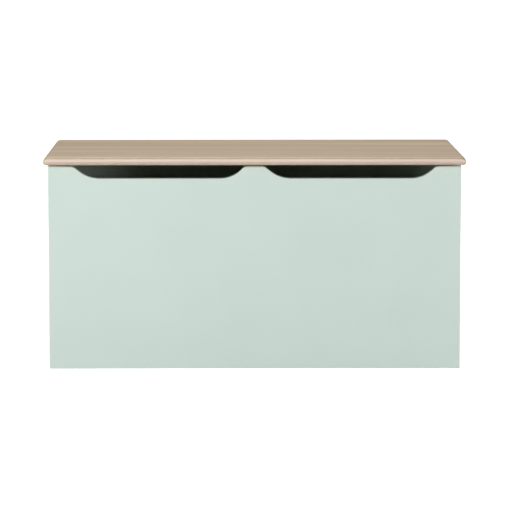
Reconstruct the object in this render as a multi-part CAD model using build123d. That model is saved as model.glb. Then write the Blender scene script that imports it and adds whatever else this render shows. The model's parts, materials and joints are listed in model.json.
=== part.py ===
from build123d import *
import os
from collections import namedtuple
from math import asin, cos, radians, sin, tan

# Toy box of five painted boards, with a wood-grain lid that swings up at the back.
#
# Frame, in millimetres: +Z up, +X to the right of someone facing the front, -Y towards that person.
# The origin is on the floor, under the middle of the whole object's length and depth.
#
# The boards meet in butt joints, each drawn together by cam locks and lined up by dowels. The bottom
# board lies on four battens. The lid hangs on three butt hinges and is held open by two telescopic
# stays. Each stay's two pivots are the same distance from the hinge line, so hinge line and pivots
# make an isosceles triangle: when the lid turns by an angle, the stay turns by exactly half of it.

# Driving dimensions
body_width = 800
body_depth = 418
body_height = 396
board = 15  # thickness of the four wall boards
lid_width = 818
lid_depth = 430
lid_thickness = 15
lid_gap = 2.5  # between the walls' top edges and the lid's underside
lid_front_overhang = lid_depth - body_depth

lid_upper_radius = 9  # the round along the lid's top edge
lid_lower_radius = 5.5
lid_corner_radius = 10
front_edge_radius = 2
eased_edge = 1

# Two scoops in the front board's top edge, for fingers and air
scoop_depth = 24
scoop_width = 343
scoop_spacing = 370  # between the middles of the two scoops
ScoopEnd = namedtuple("ScoopEnd", "slope crest_radius foot_radius")
gentle_end = ScoopEnd(slope=38, crest_radius=12, foot_radius=63)
steep_end = ScoopEnd(slope=44, crest_radius=12, foot_radius=58)

# Bottom board and battens
bottom_thickness = 12
batten = 20  # width and height
batten_floor_gap = 5
fit_gap = 0.5
side_batten_screw_spacing = 150
long_batten_screw_spacing = 200
bottom_screw_spacing = 200

# Butt hinges
hinge_spacing = 270
leaf_length = 63
leaf_width = 13.6
leaf_thickness = 1
leaf_corner_radius = 2
knuckles = 5
knuckle_radius = 2.5
knuckle_gap = 0.3
pin_radius = 1.5
pin_length = 64
pin_chamfer = 0.4
running = 0.08  # radial clearance where one round face turns or slides on another
axis_behind_body = 3
hinge_screw_setback = 8.5  # from a leaf's end

# Telescopic stays
stay_arm = 195  # from the hinge line to either pivot
lower_arm_angle = 80  # below horizontal, seen from the hinge line
upper_pivot_drop = 14  # below the lid's underside
stay_inset = 11  # from the side board's inner face to the stay's middle
eye_radius = 7.5
eye_width = 8
eye_neck_radius = 5
eye_length = 18  # from a pivot to where the eye's neck ends
stud_radius = 3
tube_radius = 7.5
tube_wall = 1.25
tube_length = 196
rod_radius = 3
rod_length = 195  # from the piston's lower face to the upper pivot
piston_length = 8
plug_length = 8
guide_length = 14
guide_flange = 3
rod_in_eye = 8

# Stay brackets
plate = 2
bracket_width = 20
bracket_height = 48
bracket_screw_reach = 16
bracket_corner_radius = 6
lid_flange_drop = 22
lid_flange_width = 26
lid_flange_gap = 3  # from the side board's inner face
lid_plate_length = 44
lid_plate_width = 32
lid_plate_corner_radius = 4
lid_screw_from_edge = 7
lid_screw_from_flange = 11
stud_tip = 3.5  # how far a stud stands out past its eye
stud_shoulder_radius = 5
stud_play = 0.2  # between a stud's shoulder and its eye
clip_thickness = 0.8
clip_radius = 5
clip_groove_radius = 2.3
clip_mouth = 3.7
clip_air = 0.5  # between a clip and its eye

# Cam locks and dowels
cam_radius = 7.5
cam_depth = 12.5
cam_distance = 34  # from the joint to the cam's middle
cam_play = 0.1
cam_slot = 7.4
cam_recess = (2, 8)  # depth and reach of the driver's cross
bolt_thread = (2.5, 11)  # radius and length
bolt_sleeve = (3.5, 20)
bolt_neck = (2, 10)
bolt_head = (3.2, 4)
bolt_bore_radius = 4
cam_heights = (75, 325)
dowel_radius = 4
dowel_length = 30
dowel_in_face = 10
dowel_chamfer = 1
dowel_heights = (115, 285)
hole_spare = 0.5  # how much deeper a blind hole is than what goes in it

# Bumpers under the lid
bumper_radius = 5
bumper_air = 0.1
bumper_fillet = 1.2
bumper_setbacks = (40, 230)  # behind the front board's face

# Screws: the head is a cone, flush with the face that it sits in
Screw = namedtuple("Screw", "head_radius head_depth radius length")
hinge_screw = Screw(head_radius=3, head_depth=1.5, radius=1.5, length=13)
bracket_screw = Screw(head_radius=3.4, head_depth=1.8, radius=1.75, length=13)
batten_screw = Screw(head_radius=3.9, head_depth=2.3, radius=2, length=30)
bottom_screw = Screw(head_radius=3.4, head_depth=1.9, radius=1.75, length=25)
screw_tip = 2.5
recess_width = 0.9
recess_depth_share = 0.8  # of a head's depth
recess_reach_share = 1.1  # of a head's radius
head_play = 0.05

# Places worked out from the dimensions above
hinge_rear = axis_behind_body + knuckle_radius
front_y = lid_front_overhang - (lid_depth + hinge_rear) / 2
back_y = front_y + body_depth
inner_front_y = front_y + board
inner_back_y = back_y - board
half_width = body_width / 2
inner_x = half_width - board
lid_under = body_height + lid_gap
lid_top = lid_under + lid_thickness
bottom_under = batten_floor_gap + batten
bottom_top = bottom_under + bottom_thickness

axis_y = back_y + axis_behind_body
axis_z = body_height + lid_gap / 2

upper_arm_drop = upper_pivot_drop - lid_gap / 2
upper_arm_angle = asin(upper_arm_drop / stay_arm)
upper_y = axis_y - stay_arm * cos(upper_arm_angle)
upper_z = axis_z - upper_arm_drop
lower_y = axis_y - stay_arm * cos(radians(lower_arm_angle))
lower_z = axis_z - stay_arm * sin(radians(lower_arm_angle))
stay_x = inner_x - stay_inset
stay_closed = Vector(0, upper_y - lower_y, upper_z - lower_z).length
stay_direction = Vector(0, upper_y - lower_y, upper_z - lower_z).normalized()

RIGHT, LEFT = Vector(1, 0, 0), Vector(-1, 0, 0)
FORWARD, BACK = Vector(0, -1, 0), Vector(0, 1, 0)
UP, DOWN = Vector(0, 0, 1), Vector(0, 0, -1)


# Helpers


def block(x, y, z):
    """A box between a low and a high limit on each axis."""
    middle = [(low + high) / 2 for low, high in (x, y, z)]
    return Pos(*middle) * Box(x[1] - x[0], y[1] - y[0], z[1] - z[0])


def bar(start, direction, radius, length):
    """A round bar that runs from start along direction."""
    along = Cylinder(radius, length, align=(Align.CENTER, Align.CENTER, Align.MIN))
    return Plane(origin=start, z_dir=direction) * along


def mirrored(shape):
    """The same piece on the other side of the box."""
    return mirror(shape, about=Plane.YZ)


def both_sides(shapes):
    """The pieces given for the right side, with their mirror images for the left."""
    return list(shapes) + [mirrored(shape) for shape in shapes]


def turned(points):
    """A solid of revolution about Z, from (radius, height) points."""
    half_section = Plane.XZ * make_face(Polyline(*points, close=True))
    return revolve(half_section, Axis.Z)


def screw(size, seat, direction):
    """A countersunk screw whose head is flush at seat and whose point looks along direction."""
    r, length = size.radius, size.length
    body = turned([(0, 0), (size.head_radius, 0), (r, -size.head_depth), (r, screw_tip - length),
                   (0, -length)])
    depth = size.head_depth * recess_depth_share
    reach = size.head_radius * recess_reach_share
    recess = [Pos(0, 0, -depth / 2) * Box(reach, recess_width, depth),
              Pos(0, 0, -depth / 2) * Box(recess_width, reach, depth)]
    return Plane(origin=seat, z_dir=-direction) * (body - recess)


def screw_hole(size, seat, direction):
    """What a screw needs cut out of every piece that it passes."""
    cone = size.head_radius + head_play
    hole = turned([(0, 0), (cone, 0), (size.radius + head_play, -size.head_depth),
                   (size.radius, -size.head_depth), (size.radius, -size.length - hole_spare),
                   (0, -size.length - hole_spare)])
    return Plane(origin=seat, z_dir=-direction) * hole


# Joints between the boards


def cam_frame(seat, along, inward):
    """Local X runs along the bolt, away from the joint; local Z looks out of the cam's bore."""
    return Plane(origin=seat, x_dir=along, z_dir=inward)


def cam_bolt(seat, along, inward):
    """The bolt that screws into one board and is gripped by the cam in the other."""
    pieces = [bar((-bolt_thread[1], 0, 0), RIGHT, *bolt_thread)]
    reach = 0
    for radius, length in (bolt_sleeve, bolt_neck, bolt_head):
        pieces.append(bar((reach, 0, 0), RIGHT, radius, length))
        reach += length
    return cam_frame(seat, along, inward) * (pieces[0] + pieces[1:])


def cam_lock(seat, along, inward):
    """The round cam: a side slot lets the bolt's head in, and a cross recess takes the driver."""
    face = board / 2
    depth = cam_depth - 2 * cam_play
    body = bar((cam_distance, 0, face), DOWN, cam_radius - cam_play, depth)
    slot = block((cam_distance - cam_radius, cam_distance + cam_slot / 2), (-cam_slot / 2, cam_slot / 2),
                 (-cam_slot / 2, cam_slot / 2))
    recess_depth, recess_reach = cam_recess
    driver = Pos(cam_distance, 0, face - recess_depth / 2)
    recess = [driver * Box(recess_reach, 2 * recess_width, recess_depth),
              driver * Box(2 * recess_width, recess_reach, recess_depth)]
    return cam_frame(seat, along, inward) * (body - [slot] - recess)


def cam_holes(seat, along, inward):
    """Thread hole in the first board, bolt bore and cam bore in the second."""
    thread_radius, thread_length = bolt_thread
    thread = bar((-thread_length - hole_spare, 0, 0), RIGHT, thread_radius, thread_length + hole_spare)
    bolt = bar((0, 0, 0), RIGHT, bolt_bore_radius, cam_distance)
    cam = bar((cam_distance, 0, board / 2), DOWN, cam_radius, cam_depth)
    return cam_frame(seat, along, inward) * (thread + [bolt, cam])


def dowel(seat, along):
    """A wooden dowel with chamfered ends, the shorter part in the first board."""
    pin = bar(Vector(*seat) - along * dowel_in_face, along, dowel_radius, dowel_length)
    ends = pin.edges().filter_by(GeomType.CIRCLE)
    return chamfer(ends, dowel_chamfer)


def dowel_hole(seat, along):
    start = Vector(*seat) - along * (dowel_in_face + hole_spare)
    return bar(start, along, dowel_radius, dowel_length + 2 * hole_spare)


# Joint seats on the right side, as (point, direction of bolt or dowel, way out of the cam bore)


def corner_seats(heights):
    """Front corner: the front board holds the bolt. Back corner: the side board does."""
    mid_side_x = half_width - board / 2
    mid_back_y = back_y - board / 2
    front = [((mid_side_x, inner_front_y, z), BACK, LEFT) for z in heights]
    back = [((inner_x, mid_back_y, z), LEFT, FORWARD) for z in heights]
    return front, back


def corner_cuts():
    """The holes at the right side's front corner and back corner."""
    front_cams, back_cams = corner_seats(cam_heights)
    front_dowels, back_dowels = corner_seats(dowel_heights)
    front = [cam_holes(*seat) for seat in front_cams] + [dowel_hole(s, d) for s, d, _ in front_dowels]
    back = [cam_holes(*seat) for seat in back_cams] + [dowel_hole(s, d) for s, d, _ in back_dowels]
    return front, back


# Screw seats, as (point, direction), for the right side or for the whole box


def batten_screw_seats():
    height = batten_floor_gap + batten / 2
    rows = [step * side_batten_screw_spacing for step in (-1, 0, 1)]
    columns = [step * long_batten_screw_spacing for step in (-1.5, -0.5, 0.5, 1.5)]
    side = [(Vector(inner_x - batten, y, height), RIGHT) for y in rows]
    side += [(Vector(-seat.X, seat.Y, seat.Z), LEFT) for seat, _ in side]
    front = [(Vector(x, inner_front_y + batten, height), FORWARD) for x in columns]
    back = [(Vector(x, inner_back_y - batten, height), BACK) for x in columns]
    return side, front, back


def bottom_screw_seats():
    side_x = inner_x - batten / 2
    rows = [step * bottom_screw_spacing for step in (-0.5, 0.5)]
    columns = [step * bottom_screw_spacing for step in (-1, 0, 1)]
    seats = [(x, y) for x in (-side_x, side_x) for y in rows]
    seats += [(x, inner_front_y + batten / 2) for x in columns]
    seats += [(x, inner_back_y - batten / 2) for x in columns]
    return [(Vector(x, y, bottom_top), DOWN) for x, y in seats]


def hinge_screw_seats(middle_x):
    """Seats in the body leaf, looking down, and in the lid leaf, looking up."""
    y = axis_y - knuckle_radius - knuckle_gap - leaf_width / 2
    columns = [middle_x + step * (leaf_length / 2 - hinge_screw_setback) for step in (-1, 0, 1)]
    body = [(Vector(x, y, body_height + leaf_thickness), DOWN) for x in columns]
    lid = [(Vector(x, y, lid_under - leaf_thickness), UP) for x in columns]
    return body, lid


def side_bracket_screw_seats():
    return [(Vector(inner_x - plate, lower_y, lower_z + reach), RIGHT)
            for reach in (-bracket_screw_reach, bracket_screw_reach)]


def lid_bracket_screw_seats():
    outer_x = inner_x - lid_flange_gap
    rows = [upper_y - bracket_screw_reach, upper_y + bracket_screw_reach]
    columns = [outer_x - lid_plate_width + lid_screw_from_edge, outer_x - lid_screw_from_flange]
    return [(Vector(x, y, lid_under - plate), UP) for x in columns for y in rows]


def hinge_middles():
    return [-hinge_spacing, 0, hinge_spacing]


# Boards


def scoop_end_edges(end, x_top, toward):
    """One sloping end of a scoop, from the top edge at x_top down to the flat, and where the flat starts.
    A small crest arc, a straight slope and a large foot arc meet without corners."""
    slope = radians(end.slope)
    arcs_drop = (end.crest_radius + end.foot_radius) * (1 - cos(slope))
    straight_run = (scoop_depth - arcs_drop) / tan(slope)
    x_flat = x_top + toward * ((end.crest_radius + end.foot_radius) * sin(slope) + straight_run)
    crest_centre = Vector(x_top, body_height - end.crest_radius)
    foot_centre = Vector(x_flat, body_height - scoop_depth + end.foot_radius)
    crest = CenterArc(crest_centre, end.crest_radius, 90, -toward * end.slope)
    foot = CenterArc(foot_centre, end.foot_radius, 270, -toward * end.slope)
    crest_end = crest_centre + Vector(toward * sin(slope), cos(slope)) * end.crest_radius
    foot_start = foot_centre - Vector(toward * sin(slope), cos(slope)) * end.foot_radius
    return [crest, Line(crest_end, foot_start), foot], x_flat


def front_outline():
    """The front board seen from the front, with its two scoops."""
    edges = []
    x_from = -half_width
    for middle in (-scoop_spacing / 2, scoop_spacing / 2):
        left_x, right_x = middle - scoop_width / 2, middle + scoop_width / 2
        left_end, flat_from = scoop_end_edges(gentle_end, left_x, 1)
        right_end, flat_to = scoop_end_edges(steep_end, right_x, -1)
        flat_z = body_height - scoop_depth
        edges += [Line((x_from, body_height), (left_x, body_height)), *left_end,
                  Line((flat_from, flat_z), (flat_to, flat_z)), *right_end]
        x_from = right_x
    edges += [Line((x_from, body_height), (half_width, body_height)),
              Line((half_width, body_height), (half_width, 0)),
              Line((half_width, 0), (-half_width, 0)), Line((-half_width, 0), (-half_width, body_height))]
    return make_face(edges)


def front_panel():
    seen_from_front = Plane(origin=(0, inner_front_y, 0), x_dir=RIGHT, z_dir=FORWARD)
    panel = extrude(seen_from_front * front_outline(), board)
    panel = fillet(panel.edges().group_by(Axis.Y)[0], front_edge_radius)
    below_scoops = body_height - 2 * scoop_depth
    inner_top = [e for e in panel.edges().group_by(Axis.Y)[-1] if e.center().Z > below_scoops]
    panel = fillet(inner_top, eased_edge)
    _, front_screws, _ = batten_screw_seats()
    cuts = both_sides(corner_cuts()[0]) + [screw_hole(batten_screw, *seat) for seat in front_screws]
    return panel - cuts


def right_side_panel():
    panel = block((inner_x, half_width), (inner_front_y, back_y), (0, body_height))
    outer = panel.faces().sort_by(Axis.X)[-1]
    eased = [e for e in outer.edges() if e.center().Y > inner_front_y + board]
    panel = fillet(eased, eased_edge)
    side_screws, _, _ = batten_screw_seats()
    front_cuts, back_cuts = corner_cuts()
    cuts = front_cuts + back_cuts
    cuts += [screw_hole(batten_screw, *seat) for seat in side_screws if seat[1].X > 0]
    cuts += [screw_hole(bracket_screw, *seat) for seat in side_bracket_screw_seats()]
    return panel - cuts


def back_panel():
    panel = block((-inner_x, inner_x), (inner_back_y, back_y), (0, body_height))
    _, _, back_screws = batten_screw_seats()
    cuts = both_sides(corner_cuts()[1]) + [screw_hole(batten_screw, *seat) for seat in back_screws]
    for middle in hinge_middles():
        cuts += [screw_hole(hinge_screw, *seat) for seat in hinge_screw_seats(middle)[0]]
    return panel - cuts


def bottom_panel():
    panel = block((fit_gap - inner_x, inner_x - fit_gap), (inner_front_y + fit_gap, inner_back_y - fit_gap),
                  (bottom_under, bottom_top))
    return panel - [screw_hole(bottom_screw, *seat) for seat in bottom_screw_seats()]


def lid_panel():
    front = back_y - lid_depth
    panel = block((-lid_width / 2, lid_width / 2), (front, back_y), (lid_under, lid_top))
    panel = fillet(panel.edges().filter_by(Axis.Z), lid_corner_radius)
    panel = fillet(panel.edges().group_by(Axis.Z)[-1], lid_upper_radius)
    panel = fillet(panel.edges().group_by(Axis.Z)[0], lid_lower_radius)
    cuts = both_sides([screw_hole(bracket_screw, *seat) for seat in lid_bracket_screw_seats()])
    for middle in hinge_middles():
        cuts += [screw_hole(hinge_screw, *seat) for seat in hinge_screw_seats(middle)[1]]
    return panel - cuts


# Battens


def batten_cuts():
    side, front, back = batten_screw_seats()
    cuts = [screw_hole(batten_screw, *seat) for seat in side + front + back]
    return cuts + [screw_hole(bottom_screw, *seat) for seat in bottom_screw_seats()]


def battens():
    """The four battens by name: the side ones run the full depth, the others fit between them."""
    z = (batten_floor_gap, bottom_under)
    depth = (inner_front_y, inner_back_y)
    between = (batten + fit_gap - inner_x, inner_x - batten - fit_gap)
    cuts = batten_cuts()
    return {
        "left_batten": block((-inner_x, batten - inner_x), depth, z) - cuts,
        "right_batten": block((inner_x - batten, inner_x), depth, z) - cuts,
        "front_batten": block(between, (inner_front_y, inner_front_y + batten), z) - cuts,
        "back_batten": block(between, (inner_back_y - batten, inner_back_y), z) - cuts,
    }


# Hinges


def hinge_leaf(middle_x, on_lid):
    """A flat leaf whose tongues roll round the pin. The body leaf has the outer and middle knuckles."""
    step = leaf_length / knuckles
    low_x = middle_x - leaf_length / 2
    z = (lid_under - leaf_thickness, lid_under) if on_lid else (body_height, body_height + leaf_thickness)
    edge_y = axis_y - knuckle_radius - knuckle_gap
    leaf = block((low_x, low_x + leaf_length), (edge_y - leaf_width, edge_y), z)
    free_corners = leaf.edges().filter_by(Axis.Z).group_by(Axis.Y)[0]
    leaf = fillet(free_corners, leaf_corner_radius)
    bore = pin_radius + running if on_lid else pin_radius
    for number in range(1 if on_lid else 0, knuckles, 2):
        start = low_x + number * step + knuckle_gap / 2
        length = step - knuckle_gap
        tongue = block((start, start + length), (edge_y - leaf_thickness, axis_y - pin_radius), z)
        leaf += [tongue, bar((start, axis_y, axis_z), RIGHT, knuckle_radius, length)]
    body_seats, lid_seats = hinge_screw_seats(middle_x)
    cuts = [screw_hole(hinge_screw, *seat) for seat in (lid_seats if on_lid else body_seats)]
    return leaf - [bar((low_x, axis_y, axis_z), RIGHT, bore, leaf_length)] - cuts


def hinge_pin(middle_x):
    pin = bar((middle_x - pin_length / 2, axis_y, axis_z), RIGHT, pin_radius, pin_length)
    return chamfer(pin.edges().filter_by(GeomType.CIRCLE), pin_chamfer)


# Stays, modelled on the right side


def along_stay(distance):
    """The point on the closed stay's middle line at that distance from the lower pivot."""
    return Vector(stay_x, lower_y, lower_z) + stay_direction * distance


def stay_eye(pivot_distance, neck_toward, rod_hole):
    """A moulded eye: a ring round the stud and a neck, flat on both sides, towards the tube or rod."""
    centre = along_stay(pivot_distance)
    direction = stay_direction * neck_toward
    across = centre - RIGHT * (eye_width / 2)
    flats = block((stay_x - eye_width / 2, stay_x + eye_width / 2), (front_y, back_y), (0, lid_top))
    neck = bar(centre, direction, eye_neck_radius, eye_length) & flats
    eye = neck + bar(across, RIGHT, eye_radius, eye_width)
    eye = eye - bar(across, RIGHT, stud_radius + running, eye_width)
    if rod_hole:
        start = centre + direction * (eye_length - rod_in_eye)
        eye = eye - [bar(start, direction, rod_radius, rod_in_eye)]
    return eye


def stay_tube():
    start = along_stay(eye_length)
    tube = bar(start, stay_direction, tube_radius, tube_length)
    return tube - [bar(start, stay_direction, tube_radius - tube_wall, tube_length)]


def stay_plug():
    return bar(along_stay(eye_length), stay_direction, tube_radius - tube_wall, plug_length)


def stay_guide():
    """Closes the tube's upper end and guides the rod."""
    end = eye_length + tube_length
    guide = bar(along_stay(end - guide_length), stay_direction, tube_radius - tube_wall, guide_length)
    guide += bar(along_stay(end), stay_direction, tube_radius, guide_flange)
    bore_length = guide_length + guide_flange
    bore = bar(along_stay(end - guide_length), stay_direction, rod_radius + running, bore_length)
    return guide - [bore]


def stay_rod():
    start = stay_closed - rod_length
    return bar(along_stay(start), stay_direction, rod_radius, rod_length - eye_length + rod_in_eye)


def stay_piston():
    start = along_stay(stay_closed - rod_length)
    piston = bar(start, stay_direction, tube_radius - tube_wall - running, piston_length)
    return piston - [bar(start, stay_direction, rod_radius, piston_length)]


def stud(plate_face_x, y, z):
    """A shouldered stud, riveted through its plate, with a groove for the clip at its tip."""
    eye_outer_x = stay_x + eye_width / 2
    eye_inner_x = stay_x - eye_width / 2
    shoulder_end = eye_outer_x + stud_play
    tip_x = eye_inner_x - stud_tip
    body = bar((plate_face_x + plate, y, z), LEFT, stud_radius, plate_face_x + plate - tip_x)
    body += bar((plate_face_x, y, z), LEFT, stud_shoulder_radius, plate_face_x - shoulder_end)
    groove = bar((clip_x(), y, z), LEFT, stud_radius, clip_thickness)
    return body - [groove - [bar((clip_x(), y, z), LEFT, clip_groove_radius, clip_thickness)]]


def clip_x():
    """The side of the clip that faces the eye."""
    return stay_x - eye_width / 2 - clip_air


def stud_clip(y, z):
    """A flat spring clip, open at the bottom, that snaps into the stud's groove."""
    clip = bar((clip_x(), y, z), LEFT, clip_radius, clip_thickness)
    opening = block((clip_x() - clip_thickness, clip_x()), (y - clip_mouth / 2, y + clip_mouth / 2),
                    (z - clip_radius, z))
    return clip - [bar((clip_x(), y, z), LEFT, clip_groove_radius, clip_thickness), opening]


def side_bracket():
    face_x = inner_x - plate
    bracket = block((face_x, inner_x), (lower_y - bracket_width / 2, lower_y + bracket_width / 2),
                    (lower_z - bracket_height / 2, lower_z + bracket_height / 2))
    bracket = fillet(bracket.edges().filter_by(Axis.X), bracket_corner_radius)
    cuts = [screw_hole(bracket_screw, *seat) for seat in side_bracket_screw_seats()]
    return bracket - cuts - [bar((inner_x, lower_y, lower_z), LEFT, stud_radius, plate)]


def lid_bracket():
    """An angle: one flange is screwed under the lid, the other hangs down and carries the stud."""
    outer_x = inner_x - lid_flange_gap
    flange_y = (upper_y - lid_flange_width / 2, upper_y + lid_flange_width / 2)
    plate_y = (upper_y - lid_plate_length / 2, upper_y + lid_plate_length / 2)
    hanging = block((outer_x - plate, outer_x), flange_y, (lid_under - lid_flange_drop, lid_under))
    hanging = fillet(hanging.edges().filter_by(Axis.X).group_by(Axis.Z)[0], bracket_corner_radius)
    flat = block((outer_x - lid_plate_width, outer_x), plate_y, (lid_under - plate, lid_under))
    flat = fillet(flat.edges().filter_by(Axis.Z), lid_plate_corner_radius)
    cuts = [screw_hole(bracket_screw, *seat) for seat in lid_bracket_screw_seats()]
    return (hanging + flat) - cuts - [bar((outer_x, upper_y, upper_z), LEFT, stud_radius, plate)]


# Bumpers


def bumper(setback):
    """A soft round pad on the right side board's top edge."""
    base = (half_width - board / 2, front_y + setback, body_height)
    pad = bar(base, UP, bumper_radius, lid_gap - bumper_air)
    return fillet(pad.edges().group_by(Axis.Z)[-1], bumper_fillet)


# Writing one file for each named piece


def single_pieces():
    pieces = {
        "front_panel": front_panel(),
        "back_panel": back_panel(),
        "bottom_panel": bottom_panel(),
        "lid_panel": lid_panel(),
    }
    pieces.update(battens())
    for name, middle in zip(("left", "middle", "right"), hinge_middles()):
        pieces[f"{name}_hinge_body_leaf"] = hinge_leaf(middle, on_lid=False)
        pieces[f"{name}_hinge_lid_leaf"] = hinge_leaf(middle, on_lid=True)
        pieces[f"{name}_hinge_pin"] = hinge_pin(middle)
    return pieces


def handed_pieces():
    """Pieces that the box has once on each side, modelled on the right."""
    side_face_x = inner_x - plate
    flange_face_x = inner_x - lid_flange_gap - plate
    return {
        "side_panel": right_side_panel(),
        "stay_lower_eye": stay_eye(0, 1, rod_hole=False),
        "stay_tube": stay_tube(),
        "stay_end_plug": stay_plug(),
        "stay_rod_guide": stay_guide(),
        "stay_rod": stay_rod(),
        "stay_piston": stay_piston(),
        "stay_upper_eye": stay_eye(stay_closed, -1, rod_hole=True),
        "side_bracket": side_bracket(),
        "side_bracket_stud": stud(side_face_x, lower_y, lower_z),
        "side_bracket_clip": stud_clip(lower_y, lower_z),
        "lid_bracket": lid_bracket(),
        "lid_bracket_stud": stud(flange_face_x, upper_y, upper_z),
        "lid_bracket_clip": stud_clip(upper_y, upper_z),
    }


def grouped_pieces():
    """Identical fasteners, each group a set of separate solids in one file."""
    front_cams, back_cams = corner_seats(cam_heights)
    front_dowels, back_dowels = corner_seats(dowel_heights)
    cams, dowels = front_cams + back_cams, front_dowels + back_dowels
    body_screws, lid_screws = [], []
    for middle in hinge_middles():
        body_seats, lid_seats = hinge_screw_seats(middle)
        body_screws += [screw(hinge_screw, *seat) for seat in body_seats]
        lid_screws += [screw(hinge_screw, *seat) for seat in lid_seats]
    side, front, back = batten_screw_seats()
    return {
        "cam_locks": both_sides([cam_lock(*seat) for seat in cams]),
        "cam_bolts": both_sides([cam_bolt(*seat) for seat in cams]),
        "dowels": both_sides([dowel(seat, along) for seat, along, _ in dowels]),
        "hinge_body_screws": body_screws,
        "hinge_lid_screws": lid_screws,
        "side_bracket_screws": both_sides([screw(bracket_screw, *s) for s in side_bracket_screw_seats()]),
        "lid_bracket_screws": both_sides([screw(bracket_screw, *s) for s in lid_bracket_screw_seats()]),
        "batten_screws": [screw(batten_screw, *seat) for seat in side + front + back],
        "bottom_screws": [screw(bottom_screw, *seat) for seat in bottom_screw_seats()],
        "lid_bumpers": both_sides([bumper(setback) for setback in bumper_setbacks]),
    }


def write(name, solids):
    """Each piece is written as the plain solids that it is made of."""
    flat = [solid for shape in solids for solid in shape.solids()]
    whole = flat[0] if len(flat) == 1 else Compound(children=flat)
    export_step(whole, os.path.join("parts", name + ".step"))


os.makedirs("parts", exist_ok=True)
for piece_name, piece in single_pieces().items():
    write(piece_name, [piece])
for piece_name, piece in handed_pieces().items():
    write("right_" + piece_name, [piece])
    write("left_" + piece_name, [mirrored(piece)])
for group_name, group in grouped_pieces().items():
    write(group_name, group)
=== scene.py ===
import json
from math import cos, pi, radians, sin, tan

import bmesh
import bpy
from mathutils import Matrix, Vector


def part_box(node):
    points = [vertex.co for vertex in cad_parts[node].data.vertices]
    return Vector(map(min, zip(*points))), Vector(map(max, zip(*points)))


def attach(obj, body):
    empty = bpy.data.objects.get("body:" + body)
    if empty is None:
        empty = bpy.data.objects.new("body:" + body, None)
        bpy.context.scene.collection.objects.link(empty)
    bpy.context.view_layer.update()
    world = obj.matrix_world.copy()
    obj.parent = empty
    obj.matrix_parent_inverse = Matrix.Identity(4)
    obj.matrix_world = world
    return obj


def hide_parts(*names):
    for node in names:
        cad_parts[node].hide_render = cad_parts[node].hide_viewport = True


# Looks for the toy box: painted boards, a lid in oak-look foil, and metal fittings inside.
# Lengths are in metres.

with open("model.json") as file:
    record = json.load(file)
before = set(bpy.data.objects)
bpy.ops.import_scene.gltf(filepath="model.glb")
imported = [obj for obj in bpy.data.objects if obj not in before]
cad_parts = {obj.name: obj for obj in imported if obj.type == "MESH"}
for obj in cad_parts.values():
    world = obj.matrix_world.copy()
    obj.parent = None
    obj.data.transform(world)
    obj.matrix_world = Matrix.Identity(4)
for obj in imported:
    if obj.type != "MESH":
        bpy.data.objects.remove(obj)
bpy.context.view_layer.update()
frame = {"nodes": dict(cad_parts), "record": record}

MM = 0.001

front_low, front_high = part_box("front_panel")
lid_low, lid_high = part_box("lid_panel")
body_low, body_high = front_low, Vector((front_high.x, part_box("back_panel")[1].y, front_high.z))

# The front board's scoops, whose ends are (slope in degrees, crest radius, foot radius), and the roundings
# of the front board's and the lid's edges
SCOOP_DEPTH = 24 * MM
SCOOP_HALF_WIDTH = 171.5 * MM
SCOOP_MIDDLE = 185 * MM
GENTLE_END = (38, 12 * MM, 63 * MM)
STEEP_END = (44, 12 * MM, 58 * MM)
FRONT_FACE_RADIUS, FRONT_BACK_RADIUS = 2 * MM, 0.8 * MM
LID_TOP_RADIUS, LID_UNDER_RADIUS, LID_CORNER_RADIUS = 9 * MM, 5.5 * MM, 10 * MM

# Width of the ring of faces that keeps a board's flat sides flat beside the roundings
FLAT_RIM = 0.8 * MM

# Colours under white light
MINT = (0.63, 0.74, 0.68, 1.0)
OAK_LIGHT = (0.65, 0.50, 0.325, 1.0)
OAK_DARK = (0.535, 0.40, 0.25, 1.0)
# Paler foil on the lid's rounded edge, lightened further as a painted highlight of the front lamps
OAK_EDGE_FOIL_AND_HIGHLIGHT = (0.81, 0.655, 0.557, 1.0)
# Darker colour for the rounding under the lid's edge: painted shade where the edge faces down
OAK_PAINTED_UNDER_SHADE = (0.58, 0.455, 0.355, 1.0)


# Camera: far off with a long lens, a little above the lid and a little to the left of the middle


def make_camera():
    data = bpy.data.cameras.new("camera")
    data.sensor_width = 36
    data.lens = 190
    data.clip_end = 100
    camera = bpy.data.objects.new("camera", data)
    bpy.context.scene.collection.objects.link(camera)
    camera.location = (-0.0461, front_low.y - 5.231, 0.8815)
    tilt_down, turn_right = radians(7.227), radians(0.564)
    camera.rotation_euler = (pi / 2 - tilt_down, 0, -turn_right)
    bpy.context.scene.camera = camera


# Nodes


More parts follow.
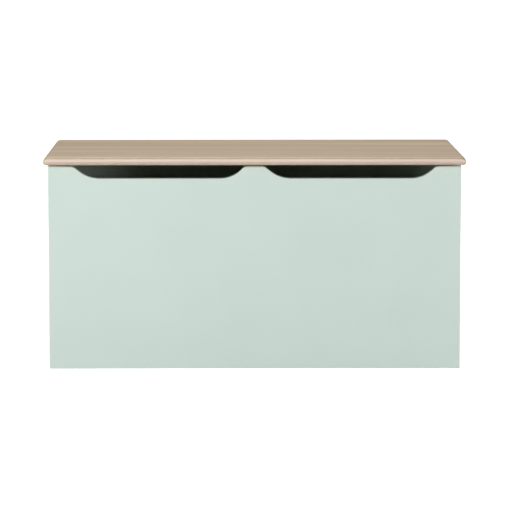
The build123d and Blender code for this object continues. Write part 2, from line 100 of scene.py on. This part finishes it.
class Nodes:
    """One material's node tree, with short ways to add the nodes that the materials below share."""

    def __init__(self, name):
        self.material = bpy.data.materials.new(name)
        self.material.use_nodes = True
        self.tree = self.material.node_tree
        self.shader = self.tree.nodes["Principled BSDF"]
        self.place = self.add("ShaderNodeTexCoord").outputs["Object"]

    def add(self, kind, inputs=(), **settings):
        node = self.tree.nodes.new(kind)
        for key, value in settings.items():
            setattr(node, key, value)
        for key, value in dict(inputs).items():
            self.feed(node.inputs[key], value)
        return node

    def feed(self, socket, value):
        if isinstance(value, bpy.types.NodeSocket):
            self.tree.links.new(value, socket)
        else:
            socket.default_value = value

    def set(self, **values):
        """Sets or links the shader's inputs, with underscores for the spaces in their names."""
        for key, value in values.items():
            self.feed(self.shader.inputs[key.replace("_", " ")], value)

    def math(self, operation, *values):
        node = self.add("ShaderNodeMath", enumerate(values), operation=operation)
        return node.outputs[0]

    def remap(self, value, low, high, to_low, to_high, smooth=False):
        """A value between low and high becomes one between to_low and to_high, and is clamped there."""
        kind = "SMOOTHSTEP" if smooth else "LINEAR"
        names = ("Value", "From Min", "From Max", "To Min", "To Max")
        inputs = zip(names, (value, low, high, to_low, to_high))
        return self.add("ShaderNodeMapRange", inputs, interpolation_type=kind).outputs["Result"]

    def product(self, *values):
        result = values[0]
        for value in values[1:]:
            result = self.math("MULTIPLY", result, value)
        return result

    def scaled(self, vector, x, y, z):
        return self.add("ShaderNodeVectorMath", {0: vector, 1: (x, y, z)}, operation="MULTIPLY").outputs[0]

    def split(self, vector):
        return self.add("ShaderNodeSeparateXYZ", {0: vector}).outputs

    def shifted(self, vector, amount, x, y, z):
        """The vector moved by amount times (x, y, z), where amount varies over the surface."""
        step = self.add("ShaderNodeVectorMath", {0: (x, y, z), "Scale": amount}, operation="SCALE")
        moved = self.add("ShaderNodeVectorMath", {0: vector, 1: step.outputs[0]}, operation="ADD")
        return moved.outputs[0]

    def stretched(self, vector, along, slow, fast):
        """Coordinates for grain that runs along an axis: slow changes along it, fast ones across it."""
        return self.scaled(vector, *[slow if axis == along else fast for axis in "xyz"])

    def edge_distance(self, low, high):
        """How far a point is from the nearest edge of a box, from its distances to the box's faces."""
        parts = dict(zip("xyz", self.split(self.place)))
        distances = []
        for axis in "xyz":
            a, b = getattr(low, axis), getattr(high, axis)
            off_middle = self.math("ABSOLUTE", self.math("SUBTRACT", parts[axis], (a + b) / 2))
            distances.append(self.math("ABSOLUTE", self.math("SUBTRACT", (b - a) / 2, off_middle)))
        first, second, third = distances
        nearer = self.math("MINIMUM", first, second)
        farther = self.math("MAXIMUM", first, second)
        return self.math("MAXIMUM", nearer, self.math("MINIMUM", farther, third))

    def rim_distance(self, low, high):
        """How far a point is inside a board's outline, seen from above."""
        x, y, _ = self.split(self.place)
        inside = []
        for value, a, b in ((x, low.x, high.x), (y, low.y, high.y)):
            off_middle = self.math("ABSOLUTE", self.math("SUBTRACT", value, (a + b) / 2))
            inside.append(self.math("SUBTRACT", (b - a) / 2, off_middle))
        return self.math("MINIMUM", *inside)

    def noise(self, vector, scale, detail=2.0, roughness=0.5, distortion=0.0):
        inputs = {"Vector": vector, "Scale": scale, "Detail": detail, "Roughness": roughness,
                  "Distortion": distortion}
        return self.add("ShaderNodeTexNoise", inputs).outputs["Fac"]

    def mix(self, factor, first, second, blend="MIX"):
        node = self.add("ShaderNodeMix", data_type="RGBA", blend_type=blend)
        for index, value in ((0, factor), (6, first), (7, second)):
            self.feed(node.inputs[index], value)
        return node.outputs[2]

    def brighten(self, colour, factor):
        """The colour times a grey factor that varies over the surface."""
        if isinstance(colour, tuple):
            colour = colour[:3]
        node = self.add("ShaderNodeVectorMath", {0: colour, "Scale": factor}, operation="SCALE")
        return node.outputs[0]

    def bump(self, height, distance, normal=None):
        inputs = {"Height": height, "Distance": distance, "Strength": 1.0}
        if normal is not None:
            inputs["Normal"] = normal
        return self.add("ShaderNodeBump", inputs).outputs["Normal"]


def rgb(red, green, blue):
    return (red, green, blue, 1.0)


# Materials


def mint_paint():
    """Sprayed satin lacquer on fibreboard: faintly cloudy, with fine orange peel and rubbed edges."""
    n = Nodes("mint_paint")
    clouds = n.noise(n.place, 7, detail=3)
    specks = n.remap(n.noise(n.place, 900, detail=1), 0.70, 0.78, 1, 0.97)
    shade = n.product(n.remap(clouds, 0.3, 0.7, 0.988, 1.012), specks)
    patches = n.remap(n.noise(n.place, 60, detail=3), 0.35, 0.65, 0.4, 1)
    rubbed = n.product(n.remap(n.edge_distance(body_low, body_high), 0, 3 * MM, 1, 0, smooth=True), patches)
    lacquer = n.brighten(MINT, shade)
    n.set(Base_Color=n.mix(rubbed, lacquer, rgb(0.72, 0.79, 0.75)))
    peel = n.noise(n.place, 420, detail=1.5)
    grit = n.noise(n.place, 1700, detail=1)
    normal = n.bump(grit, 0.012 * MM, n.bump(peel, 0.05 * MM))
    satin = n.remap(clouds, 0.3, 0.7, 0.38, 0.46)
    n.set(Roughness=n.math("SUBTRACT", satin, n.product(rubbed, 0.08)), Normal=normal)
    return n.material


def wood_grain(n, along, bands=21, lines=80, fibres=650, sway=0.03):
    """Three scales of grain: wide tone bands, growth lines and fibres, all swaying a little together."""
    bend = n.noise(n.stretched(n.place, along, 1.1, 2.2), 1, detail=2)
    across = [0 if axis == along else sway for axis in "xyz"]
    grain = n.shifted(n.place, bend, *across)
    wide = n.noise(n.stretched(grain, along, 0.6, bands), 1, detail=2)
    rings = n.noise(n.stretched(grain, along, 1.8, lines), 1, detail=3, roughness=0.6)
    fine = n.noise(n.stretched(grain, along, 9, fibres), 1, detail=2)
    return grain, wide, rings, fine


def oak_foil():
    """Printed, embossed oak foil on the lid: pores pressed into the face, a painted shade line before the
    edge, paler foil where it wraps the edge with a painted highlight on it, and painted shade under the
    edge, which is darker again."""
    n = Nodes("oak_foil")
    grain, wide, rings, fine = wood_grain(n, "x")
    pores = n.remap(n.noise(n.stretched(grain, "x", 24, 1300), 1, detail=1), 0.60, 0.68, 0, 1)
    pores = n.product(pores, n.remap(rings, 0.40, 0.62, 1, 0.25))
    tone = n.product(n.remap(rings, 0.25, 0.75, 0.90, 1.10), n.remap(fine, 0.3, 0.7, 0.965, 1.035),
                     n.remap(pores, 0, 1, 1, 0.86))
    face = n.mix(n.remap(wide, 0.40, 0.60, 0, 1, smooth=True), OAK_DARK, OAK_LIGHT)
    inside = n.rim_distance(lid_low, lid_high)
    # The band on the lid's rounded edge that gets the paler colour: partly paler edge foil, partly a
    # painted highlight
    wrapped_edge_and_highlight = n.remap(inside, 1.8 * MM, 3.2 * MM, 1, 0, smooth=True)
    # Painted shade: a darker line along the upper rounding of the lid's edge, with no groove in the mesh
    # there
    painted_crease_shade = n.remap(n.math("ABSOLUTE", n.math("SUBTRACT", inside, 4 * MM)), 0, 3 * MM, 0.86, 1)
    height = n.split(n.place)[2]
    # Painted shade: the lower half of the lid's edge rounding, which faces down, gets a darker colour
    tarnish_and_painted_shade = n.remap(height, lid_low.z + 4.5 * MM, lid_low.z + 9.5 * MM, 1, 0, smooth=True)
    edge = n.mix(tarnish_and_painted_shade, OAK_EDGE_FOIL_AND_HIGHLIGHT, OAK_PAINTED_UNDER_SHADE)
    scuffs = n.remap(n.noise(n.place, 75, detail=4, roughness=0.7), 0.52, 0.66, 0, 0.45)
    corner = n.remap(n.edge_distance(lid_low, lid_high), 6 * MM, 1 * MM, 0, 1)
    colour = n.brighten(n.mix(wrapped_edge_and_highlight, n.brighten(face, painted_crease_shade), edge), tone)
    n.set(Base_Color=n.mix(n.product(corner, scuffs), colour, rgb(0.84, 0.75, 0.64)))
    emboss = n.bump(fine, 0.012 * MM, n.bump(pores, -0.035 * MM))
    satin = n.product(n.remap(rings, 0.3, 0.7, 0.46, 0.38), n.remap(pores, 0, 1, 1, 1.35))
    n.set(Roughness=satin, Normal=emboss)
    return n.material


def planed_wood(n, along, light, dark, lines):
    """The colour of a planed face; it also sets the face's roughness and bump."""
    _, wide, rings, fine = wood_grain(n, along, bands=26, lines=lines, fibres=900, sway=0.012)
    ring = n.remap(rings, 0.38, 0.60, 0, 1, smooth=True)
    tone = n.product(n.remap(wide, 0.3, 0.7, 0.94, 1.06), n.remap(fine, 0.3, 0.7, 0.95, 1.05))
    planing = n.bump(ring, 0.03 * MM, n.bump(fine, 0.04 * MM))
    n.set(Roughness=n.remap(rings, 0.3, 0.7, 0.62, 0.72), Normal=planing)
    return n.brighten(n.mix(ring, rgb(*light), rgb(*dark)), tone)


def solid_wood(name, along, light, dark, lines):
    """Planed, unvarnished wood with its growth rings."""
    n = Nodes(name)
    n.set(Base_Color=planed_wood(n, along, light, dark, lines))
    return n.material


def pine(along):
    """Planed pine with a few dark knots."""
    n = Nodes(f"pine_along_{along}")
    wood = planed_wood(n, along, (0.76, 0.58, 0.36), (0.62, 0.40, 0.20), 150)
    cells = n.add("ShaderNodeTexVoronoi", {"Vector": n.stretched(n.place, along, 5, 13), "Scale": 1.0})
    eye = n.remap(cells.outputs["Distance"], 0.04, 0.13, 1, 0, smooth=True)
    n.set(Base_Color=n.mix(eye, wood, rgb(0.23, 0.11, 0.045)))
    return n.material


def metal(name, colour, tarnish, roughness, mark_scale, depth=0.006 * MM):
    """Metal with a slow drift of tint and gloss and a net of fine marks."""
    n = Nodes(name)
    drift = n.noise(n.place, 55, detail=4, roughness=0.6)
    marks = n.noise(n.scaled(n.place, mark_scale, mark_scale / 12, mark_scale), 1, detail=3)
    tarnish_and_painted_shade = n.remap(drift, 0.42, 0.68, 0, 1, smooth=True)
    n.set(Base_Color=n.mix(tarnish_and_painted_shade, rgb(*colour), rgb(*tarnish)), Metallic=1.0)
    gloss = n.product(n.remap(drift, 0.3, 0.7, 0.82, 1.22), n.remap(marks, 0.35, 0.65, 0.9, 1.12))
    n.set(Roughness=n.product(gloss, roughness), Normal=n.bump(marks, depth))
    return n.material


def cast_zinc():
    """Die-cast zinc: dull, with the fine pitting of the mould's skin."""
    n = Nodes("cast_zinc")
    skin = n.noise(n.place, 1400, detail=3, roughness=0.7)
    drift = n.noise(n.place, 160, detail=2)
    n.set(Base_Color=n.mix(drift, rgb(0.42, 0.43, 0.45), rgb(0.58, 0.59, 0.60)), Metallic=1.0)
    n.set(Roughness=n.remap(skin, 0.3, 0.7, 0.38, 0.56), Normal=n.bump(skin, 0.05 * MM))
    return n.material


def coating(name, colour, dusty, roughness, skin_scale):
    """Enamel, plastic or rubber: an even skin texture, dust-dull patches and slightly polished ones."""
    n = Nodes(name)
    skin = n.noise(n.place, skin_scale, detail=2)
    patches = n.noise(n.place, 48, detail=4, roughness=0.65)
    dull = n.remap(patches, 0.45, 0.70, 0, 0.6, smooth=True)
    n.set(Base_Color=n.mix(dull, rgb(*colour), rgb(*dusty)))
    gloss = n.product(n.remap(patches, 0.3, 0.7, 0.85, 1.2), roughness)
    n.set(Roughness=gloss, Normal=n.bump(skin, 0.02 * MM))
    return n.material


def make_materials():
    """The record's material slots by name."""
    black, dusty = (0.022, 0.022, 0.023), (0.045, 0.044, 0.042)
    return {
        "mint_paint": mint_paint(),
        "oak_laminate": oak_foil(),
        "pine": pine("x"),
        "beech": solid_wood("beech", "x", (0.74, 0.54, 0.38), (0.66, 0.46, 0.31), 700),
        "zinc_plated_steel": metal("zinc_plated_steel", (0.66, 0.67, 0.69), (0.60, 0.60, 0.58), 0.30, 900),
        "steel": metal("screw_steel", (0.60, 0.61, 0.63), (0.50, 0.50, 0.49), 0.26, 1500),
        "cast_zinc": cast_zinc(),
        "black_enamel": coating("black_enamel", (0.016, 0.016, 0.017), (0.028, 0.028, 0.028), 0.28, 520),
        "chrome": metal("chrome", (0.80, 0.80, 0.82), (0.76, 0.76, 0.77), 0.07, 700, depth=0.001 * MM),
        "black_plastic": coating("black_plastic", black, dusty, 0.48, 2400),
        "rubber": coating("soft_pad", (0.66, 0.63, 0.57), (0.58, 0.55, 0.49), 0.42, 1100),
    }


# Boards that Blender shapes more finely than the frame does


def arc(centre, radius, start, sweep, steps):
    """Points along an arc, in degrees, both ends included."""
    turns = [radians(start + sweep * i / steps) for i in range(steps + 1)]
    return [Vector((centre[0] + radius * cos(a), centre[1] + radius * sin(a))) for a in turns]


def inset(outline, distance):
    """The closed outline moved inwards; it runs anticlockwise and has no bend tighter than the distance."""
    moved = []
    for i, point in enumerate(outline):
        before = (point - outline[i - 1]).normalized()
        after = (outline[(i + 1) % len(outline)] - point).normalized()
        inward = Vector((-before.y - after.y, before.x + after.x)).normalized()
        lean = inward.dot(Vector((-after.y, after.x)))
        moved.append(point + inward * (distance / lean))
    return moved


def quarter_round(radius, steps):
    """An edge's rounding, from the face down, as (distance inside the outline, depth under the face)."""
    turns = [pi / 2 * i / steps for i in range(steps + 1)]
    return [(radius * (1 - sin(a)), radius * (1 - cos(a))) for a in turns]


def rounded_plate(name, outline, thickness, face_radius, back_radius, place, steps=8):
    """A board whose outline is rounded over towards both faces. place turns (u, v, depth) into a point."""
    face_side = quarter_round(face_radius, steps)
    back_side = [(d, thickness - depth) for d, depth in reversed(quarter_round(back_radius, steps))]
    rings = [(face_radius + FLAT_RIM, 0), *face_side, *back_side, (back_radius + FLAT_RIM, thickness)]
    mesh = bmesh.new()
    loops = []
    for distance, depth in rings:
        points = inset(outline, distance)
        loops.append([mesh.verts.new(place(p.x, p.y, depth)) for p in points])
    count = len(outline)
    for near, far in zip(loops, loops[1:]):
        for i in range(count):
            j = (i + 1) % count
            mesh.faces.new((near[i], near[j], far[j], far[i]))
    mesh.faces.new(list(reversed(loops[0])))
    mesh.faces.new(loops[-1])
    bmesh.ops.recalc_face_normals(mesh, faces=mesh.faces)
    for face in mesh.faces:
        face.smooth = True
    return finished(name, mesh)


def finished(name, mesh):
    """The edited mesh as an object in the scene."""
    data = bpy.data.meshes.new(name)
    mesh.to_mesh(data)
    mesh.free()
    piece = bpy.data.objects.new(name, data)
    bpy.context.scene.collection.objects.link(piece)
    return piece


def rectangle_outline(low, high, radius, steps):
    """A rectangle with rounded corners, anticlockwise from the lower right one."""
    corners = [((high[0] - radius, low[1] + radius), -90), ((high[0] - radius, high[1] - radius), 0),
               ((low[0] + radius, high[1] - radius), 90), ((low[0] + radius, low[1] + radius), 180)]
    return [p for centre, start in corners for p in arc(centre, radius, start, 90, steps)]


def scoop_points(left, right, top, floor, left_end, right_end):
    """The scoop's outline from right to left. Each end is (slope, crest radius, foot radius)."""
    points = []
    for x, (slope, crest, foot), way in ((right, right_end, -1), (left, left_end, 1)):
        drop = top - floor
        lean = radians(slope)
        straight = (drop - (crest + foot) * (1 - cos(lean))) / tan(lean)
        run = (crest + foot) * sin(lean) + straight
        crest_arc = arc((x, top - crest), crest, 90, -way * slope, 6)
        foot_arc = arc((x + way * run, floor + foot), foot, 270 - way * slope, way * slope, 16)
        ordered = crest_arc + foot_arc
        points += ordered if way < 0 else list(reversed(ordered))
    return points


def make_front_panel(paint):
    low, high = front_low, front_high
    outline = [Vector((low.x, low.z)), Vector((high.x, low.z)), Vector((high.x, high.z))]
    for middle in (SCOOP_MIDDLE, -SCOOP_MIDDLE):
        left, right = middle - SCOOP_HALF_WIDTH, middle + SCOOP_HALF_WIDTH
        outline += scoop_points(left, right, high.z, high.z - SCOOP_DEPTH, GENTLE_END, STEEP_END)
    outline.append(Vector((low.x, high.z)))
    piece = rounded_plate("front_board", outline, high.y - low.y, FRONT_FACE_RADIUS, FRONT_BACK_RADIUS,
                          lambda u, v, depth: (u, low.y + depth, v))
    piece.data.materials.append(paint)
    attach(piece, "box")
    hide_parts("front_panel")


def make_lid(foil):
    low, high = lid_low, lid_high
    outline = rectangle_outline((low.x, low.y), (high.x, high.y), LID_CORNER_RADIUS, steps=12)
    piece = rounded_plate("lid_board", outline, high.z - low.z, LID_TOP_RADIUS, LID_UNDER_RADIUS,
                          lambda u, v, depth: (u, v, high.z - depth), steps=12)
    piece.data.materials.append(foil)
    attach(piece, "lid")
    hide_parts("lid_panel")


# Stage


def make_world():
    world = bpy.data.worlds.new("studio")
    world.use_nodes = True
    bpy.context.scene.world = world
    tree = world.node_tree
    backdrop = tree.nodes["Background"]
    backdrop.inputs["Color"].default_value = (1, 1, 1, 1)
    path = tree.nodes.new("ShaderNodeLightPath")
    strength = tree.nodes.new("ShaderNodeMapRange")
    strength.inputs["To Min"].default_value = 0.14
    strength.inputs["To Max"].default_value = 1.0
    tree.links.new(path.outputs["Is Camera Ray"], strength.inputs["Value"])
    tree.links.new(strength.outputs["Result"], backdrop.inputs["Strength"])


def make_floor():
    """White paper that glows a little, and more where the lamps no longer reach it."""
    mesh = bmesh.new()
    bmesh.ops.create_grid(mesh, x_segments=1, y_segments=1, size=20)
    floor = finished("floor", mesh)
    n = Nodes("floor")
    n.set(Base_Color=rgb(0.72, 0.72, 0.72), Roughness=0.9)
    path = n.add("ShaderNodeLightPath").outputs["Is Camera Ray"]
    away = n.add("ShaderNodeVectorMath", {0: n.place}, operation="LENGTH").outputs["Value"]
    glow = n.remap(away, 0.5, 1.6, 0.8, 1.1, smooth=True)
    n.set(Emission_Color=rgb(1, 1, 1), Emission_Strength=n.math("MULTIPLY", path, glow))
    floor.data.materials.append(n.material)


def area_light(name, power, width, height, distance, azimuth, elevation, aim):
    """A soft box that looks at aim. Azimuth 0 is in front, positive to the right."""
    data = bpy.data.lights.new(name, "AREA")
    data.shape = "RECTANGLE"
    data.size, data.size_y = width, height
    data.energy = power
    lamp = bpy.data.objects.new(name, data)
    a, e = radians(azimuth), radians(elevation)
    back = Vector((sin(a) * cos(e), -cos(a) * cos(e), sin(e)))
    lamp.location = Vector(aim) + back * distance
    lamp.rotation_mode = "QUATERNION"
    lamp.rotation_quaternion = back.to_track_quat("Z", "Y")
    bpy.context.scene.collection.objects.link(lamp)


def make_lights():
    """A key from the left, a weaker fill from the right, and softer lamps behind and at both sides. A low
    strip at each side shines through the scoops onto the ends of the back board."""
    middle = (0, front_low.y, 0.25)
    area_light("key", 42, 1.3, 0.9, 3.2, -30, 30, middle)
    area_light("fill", 8.5, 1.3, 0.9, 3.2, 38, 28, middle)
    area_light("behind", 34.5, 1.8, 1.4, 2.8, 180, 50, middle)
    area_light("left", 11, 1.4, 1.0, 2.8, -102, 16, middle)
    area_light("right", 11, 1.4, 1.0, 2.8, 102, 16, middle)
    scoops = (0, front_low.y, front_high.z - SCOOP_DEPTH / 2)
    area_light("low_left", 26, 0.28, 0.12, 3.2, -64.4, 2.8, scoops)
    area_light("low_right", 29, 0.42, 0.12, 3.2, 62.4, 2.8, scoops)


def dress_frame(materials):
    """Gives every frame node the material of its slot; the side battens' grain runs front to back."""
    crosswise = pine("y")
    for part in frame["record"]["subparts"]:
        node = frame["nodes"][part["node"]]
        side_batten = part["node"] in ("left_batten", "right_batten")
        for place in node.material_slots:
            place.material = crosswise if side_batten else materials[part["material_slot"]]


make_camera()
bpy.context.scene.view_settings.view_transform = "Standard"
make_world()
make_floor()
make_lights()
materials = make_materials()
dress_frame(materials)
make_front_panel(materials["mint_paint"])
make_lid(materials["oak_laminate"])
